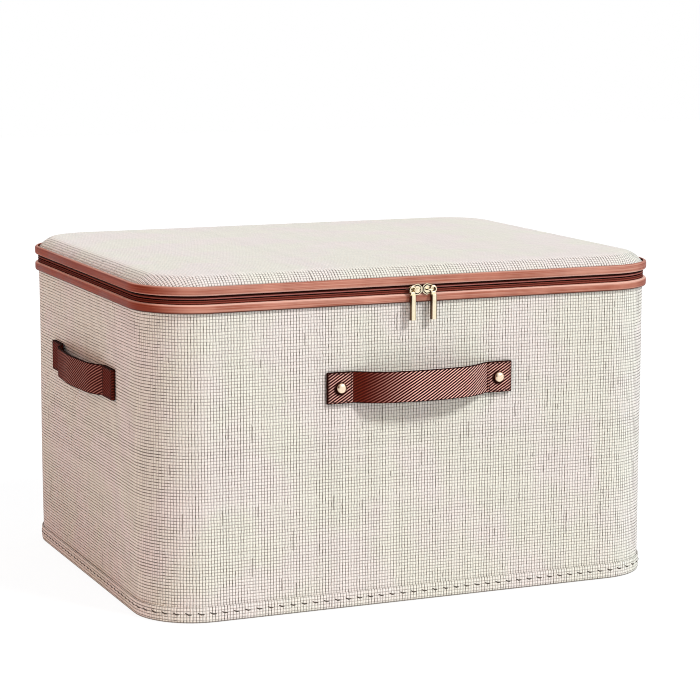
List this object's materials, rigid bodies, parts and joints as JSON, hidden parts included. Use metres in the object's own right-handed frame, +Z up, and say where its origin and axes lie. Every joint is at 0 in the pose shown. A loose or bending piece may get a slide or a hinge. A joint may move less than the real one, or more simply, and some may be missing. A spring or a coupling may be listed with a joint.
{
  "type": "zippered storage box",
  "caption": "Fabric storage box with stiff walls, a zip-round hinged lid, webbing handles and two zip sliders with hanging pulls.",
  "frame": {"origin": "centre of the underside, on the floor", "axes": "+X along the width, to the right seen from the front; the front with its handle and zip pulls faces -Y; +Z up"},
  "size_m": [0.5288, 0.4225, 0.304],
  "materials": {
    "woven_cover": "coarse cream basket weave",
    "stiff_board": "grey-brown pressed board",
    "lining": "thin plain non-woven lining",
    "binding": "reddish brown, satin, fine grain",
    "zip_tape": "dark maroon ribbed tape",
    "zip_coil": "dark maroon nylon coil",
    "foam": "soft padding",
    "webbing": "maroon-brown twill webbing",
    "brass": "pale gold, polished"
  },
  "bodies": {
    "box": {"wall_cover": "woven_cover", "wall_board": "stiff_board", "wall_lining": "lining", "base_cover": "woven_cover", "base_board": "stiff_board", "base_lining": "lining", "bottom_hem": "woven_cover", "lower_binding": "binding", "zip_tape_lower": "zip_tape", "zip_coil_lower": "zip_coil", "hinge_strip": "zip_tape", "front_handle_strap": "webbing", "left_handle_strap": "webbing", "right_handle_strap": "webbing", "front_rivets": "brass", "front_rivet_washers": "brass"},
    "lid": {"lid_cover": "woven_cover", "lid_foam": "foam", "lid_board": "stiff_board", "lid_lining": "lining", "upper_binding": "binding", "zip_tape_upper": "zip_tape", "zip_coil_upper": "zip_coil"},
    "left_slider": {"left_slider_body": "brass", "left_slider_bail": "brass"},
    "left_pull": {"left_pull": "brass"},
    "right_slider": {"right_slider_body": "brass", "right_slider_bail": "brass"},
    "right_pull": {"right_pull": "brass"}
  },
  "joints": [
    {"name": "lid_hinge", "type": "hinge", "parent": "box", "child": "lid", "pos_m": [0, 0.203, 0.28275], "axis": [-1, 0, 0], "range_deg": [0, 180], "deforming": ["hinge_strip"]},
    {"name": "left_slider_slide", "type": "slide", "parent": "box", "child": "left_slider", "axis": [-1, 0, 0], "range_m": [0, 0.18]},
    {"name": "left_pull_swing", "type": "hinge", "parent": "left_slider", "child": "left_pull", "pos_m": [-0.01, -0.208, 0.28275], "axis": [0, 1, 0], "range_deg": [-10, 100]},
    {"name": "right_slider_slide", "type": "slide", "parent": "box", "child": "right_slider", "axis": [1, 0, 0], "range_m": [0, 0.18]},
    {"name": "right_pull_swing", "type": "hinge", "parent": "right_slider", "child": "right_pull", "pos_m": [0.01, -0.208, 0.28275], "axis": [0, -1, 0], "range_deg": [-10, 100]}
  ]
}
